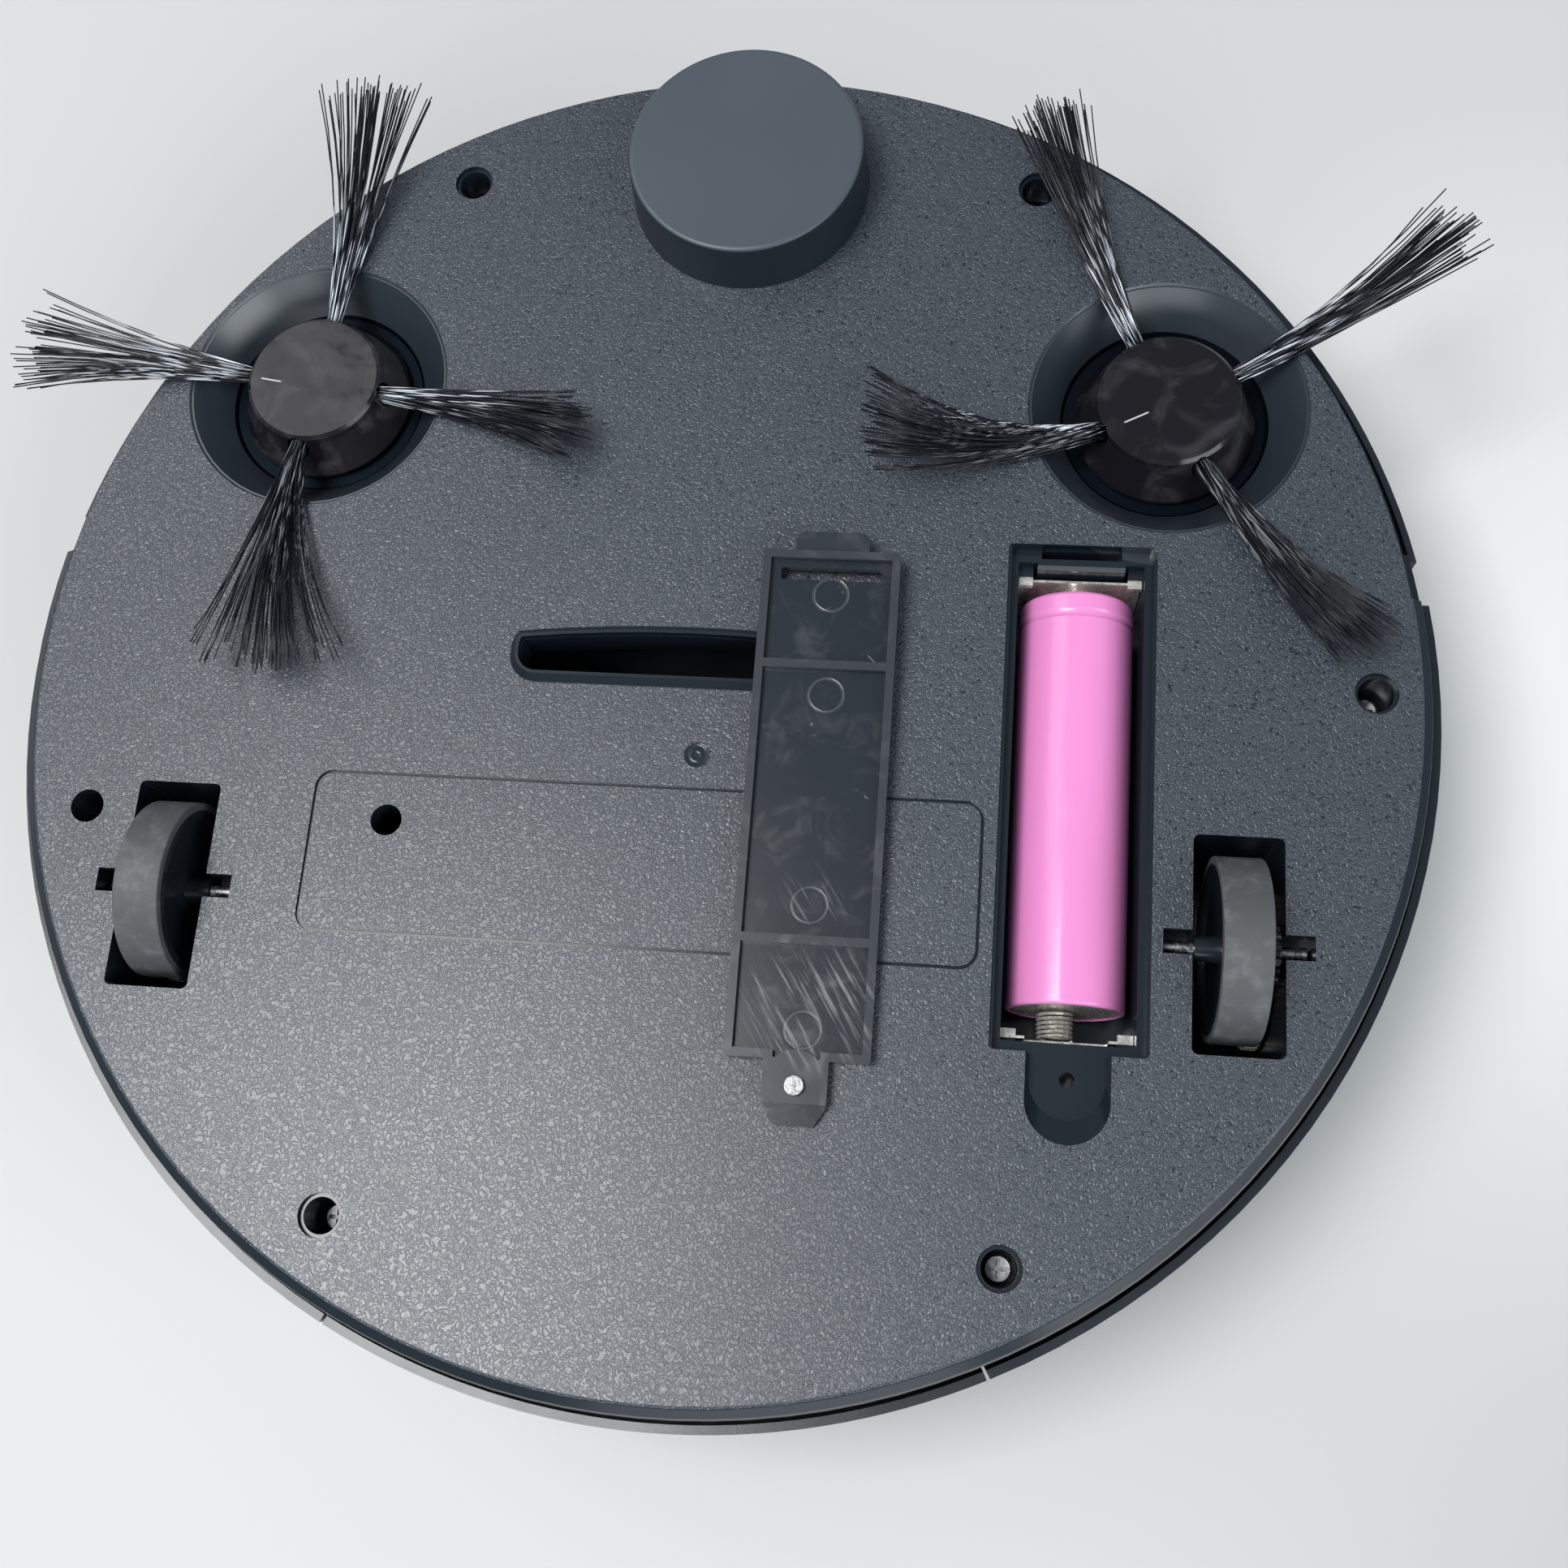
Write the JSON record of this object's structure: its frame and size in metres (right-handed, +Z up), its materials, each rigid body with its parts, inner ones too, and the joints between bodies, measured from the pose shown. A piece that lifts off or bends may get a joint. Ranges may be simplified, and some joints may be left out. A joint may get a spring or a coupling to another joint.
{
  "type": "robot vacuum",
  "caption": "Round robot vacuum lying on its back, underside up, with side brushes, drive wheels, front cap, suction mouth, an open battery bay holding its cell and the loose cover beside it.",
  "frame": {"origin": "centre of the round top face, which the robot lies on", "axes": "+Z up from the top face towards the underside, +Y to the bumper at the front, +X to the side of the battery bay"},
  "size_m": [0.2441, 0.2271, 0.056],
  "materials": {
    "black_abs": "fine leather texture",
    "satin_grey": "satin",
    "gloss_black": "gloss",
    "cover_black": "semi-gloss, scuffed",
    "dark_plastic": "satin",
    "bristle_nylon": "glossy strands",
    "tyre_rubber": "matte",
    "steel": "bright",
    "nickel": "bright",
    "pink_wrap": "gloss",
    "natural_plastic": "satin",
    "motor_metal": "satin",
    "filter_paper": "pleated",
    "board_green": "satin"
  },
  "bodies": {
    "shell": {"base_shell": "black_abs", "top_shell": "dark_plastic", "bumper_springs": "nickel", "bumper_switches": "dark_plastic", "battery_spring": "nickel", "spring_plate": "nickel", "battery_contact": "nickel", "fan_housing": "dark_plastic", "fan_motor": "motor_metal", "circuit_board": "board_green", "charging_socket": "steel", "case_screws": "steel", "left_brush_motor": "motor_metal", "left_idler_pin": "steel", "left_drive_motor": "motor_metal", "right_brush_motor": "motor_metal", "right_idler_pin": "steel", "right_drive_motor": "motor_metal"},
    "bumper": {"bumper": "dark_plastic"},
    "cap": {"front_cap": "satin_grey"},
    "caster_fork": {"caster_yoke": "dark_plastic", "caster_axle": "steel"},
    "caster_roller": {"caster_wheel": "dark_plastic"},
    "battery": {"battery_cell": "pink_wrap", "battery_terminal": "nickel"},
    "cover": {"battery_cover": "cover_black", "cover_screw": "steel"},
    "dust_drawer": {"dust_box": "dark_plastic", "dust_box_lid": "dark_plastic", "dust_box_face": "dark_plastic", "dust_filter": "filter_paper"},
    "button": {"power_button": "satin_grey"},
    "fan_rotor": {"fan_impeller": "natural_plastic"},
    "left_brush": {"left_brush_hub": "gloss_black", "left_brush_bristles": "bristle_nylon", "left_brush_shaft": "steel"},
    "left_wheel": {"left_wheel_hub": "dark_plastic", "left_tyre": "tyre_rubber", "left_wheel_axle": "steel"},
    "left_idler": {"left_idler_gear": "natural_plastic"},
    "left_pinion": {"left_motor_pinion": "natural_plastic"},
    "right_brush": {"right_brush_hub": "gloss_black", "right_brush_bristles": "bristle_nylon", "right_brush_shaft": "steel"},
    "right_wheel": {"right_wheel_hub": "dark_plastic", "right_tyre": "tyre_rubber", "right_wheel_axle": "steel"},
    "right_idler": {"right_idler_gear": "natural_plastic"},
    "right_pinion": {"right_motor_pinion": "natural_plastic"}
  },
  "joints": [
    {"name": "bumper_press", "type": "slide", "parent": "shell", "child": "bumper", "axis": [0, -1, 0], "range_m": [0, 0.0025], "stiffness_N_per_m": 120, "deforming": ["bumper_springs"]},
    {"name": "cap_lift", "type": "slide", "parent": "shell", "child": "cap", "axis": [0, 0, 1], "range_m": [0, 0.015]},
    {"name": "caster_swivel", "type": "hinge", "parent": "shell", "child": "caster_fork", "pos_m": [0, 0.0887, 0.04], "axis": [0, 0, 1], "continuous": true},
    {"name": "caster_roll", "type": "hinge", "parent": "caster_fork", "child": "caster_roller", "pos_m": [0, 0.0857, 0.0473], "axis": [1, 0, 0], "continuous": true},
    {"name": "battery_lift", "type": "slide", "parent": "shell", "child": "battery", "axis": [0, 0, 1], "range_m": [0, 0.03]},
    {"name": "cover_lift", "type": "slide", "parent": "shell", "child": "cover", "axis": [0, 0, 1], "range_m": [0, 0.03]},
    {"name": "dust_box_pull", "type": "slide", "parent": "shell", "child": "dust_drawer", "axis": [0, -1, 0], "range_m": [0, 0.13]},
    {"name": "power_button_press", "type": "slide", "parent": "shell", "child": "button", "axis": [0, 0, 1], "range_m": [0, 0.0008], "stiffness_N_per_m": 300},
    {"name": "fan_spin", "type": "hinge", "parent": "shell", "child": "fan_rotor", "pos_m": [0, 0.024, 0.02145], "axis": [0, 1, 0], "continuous": true},
    {"name": "left_brush_spin", "type": "hinge", "parent": "shell", "child": "left_brush", "pos_m": [-0.07121, 0.0484, 0.046], "axis": [0, 0, 1], "continuous": true},
    {"name": "left_wheel_spin", "type": "hinge", "parent": "shell", "child": "left_wheel", "pos_m": [-0.0825, -0.0393, 0.041], "axis": [1, 0, 0], "continuous": true},
    {"name": "left_idler_spin", "type": "hinge", "parent": "shell", "child": "left_idler", "pos_m": [-0.0825, -0.0393, 0.02474], "axis": [1, 0, 0], "continuous": true},
    {"name": "left_pinion_spin", "type": "hinge", "parent": "shell", "child": "left_pinion", "pos_m": [-0.0825, -0.0393, 0.00968], "axis": [1, 0, 0], "continuous": true},
    {"name": "right_brush_spin", "type": "hinge", "parent": "shell", "child": "right_brush", "pos_m": [0.07121, 0.0484, 0.046], "axis": [0, 0, 1], "continuous": true},
    {"name": "right_wheel_spin", "type": "hinge", "parent": "shell", "child": "right_wheel", "pos_m": [0.0825, -0.0393, 0.041], "axis": [1, 0, 0], "continuous": true},
    {"name": "right_idler_spin", "type": "hinge", "parent": "shell", "child": "right_idler", "pos_m": [0.0825, -0.0393, 0.02474], "axis": [1, 0, 0], "continuous": true},
    {"name": "right_pinion_spin", "type": "hinge", "parent": "shell", "child": "right_pinion", "pos_m": [0.0825, -0.0393, 0.00968], "axis": [1, 0, 0], "continuous": true}
  ],
  "couplings": [
    {"joint": "left_idler_spin", "follows": "left_wheel_spin", "ratio": -0.35},
    {"joint": "left_pinion_spin", "follows": "left_wheel_spin", "ratio": 1.4},
    {"joint": "right_idler_spin", "follows": "right_wheel_spin", "ratio": -0.35},
    {"joint": "right_pinion_spin", "follows": "right_wheel_spin", "ratio": 1.4}
  ]
}
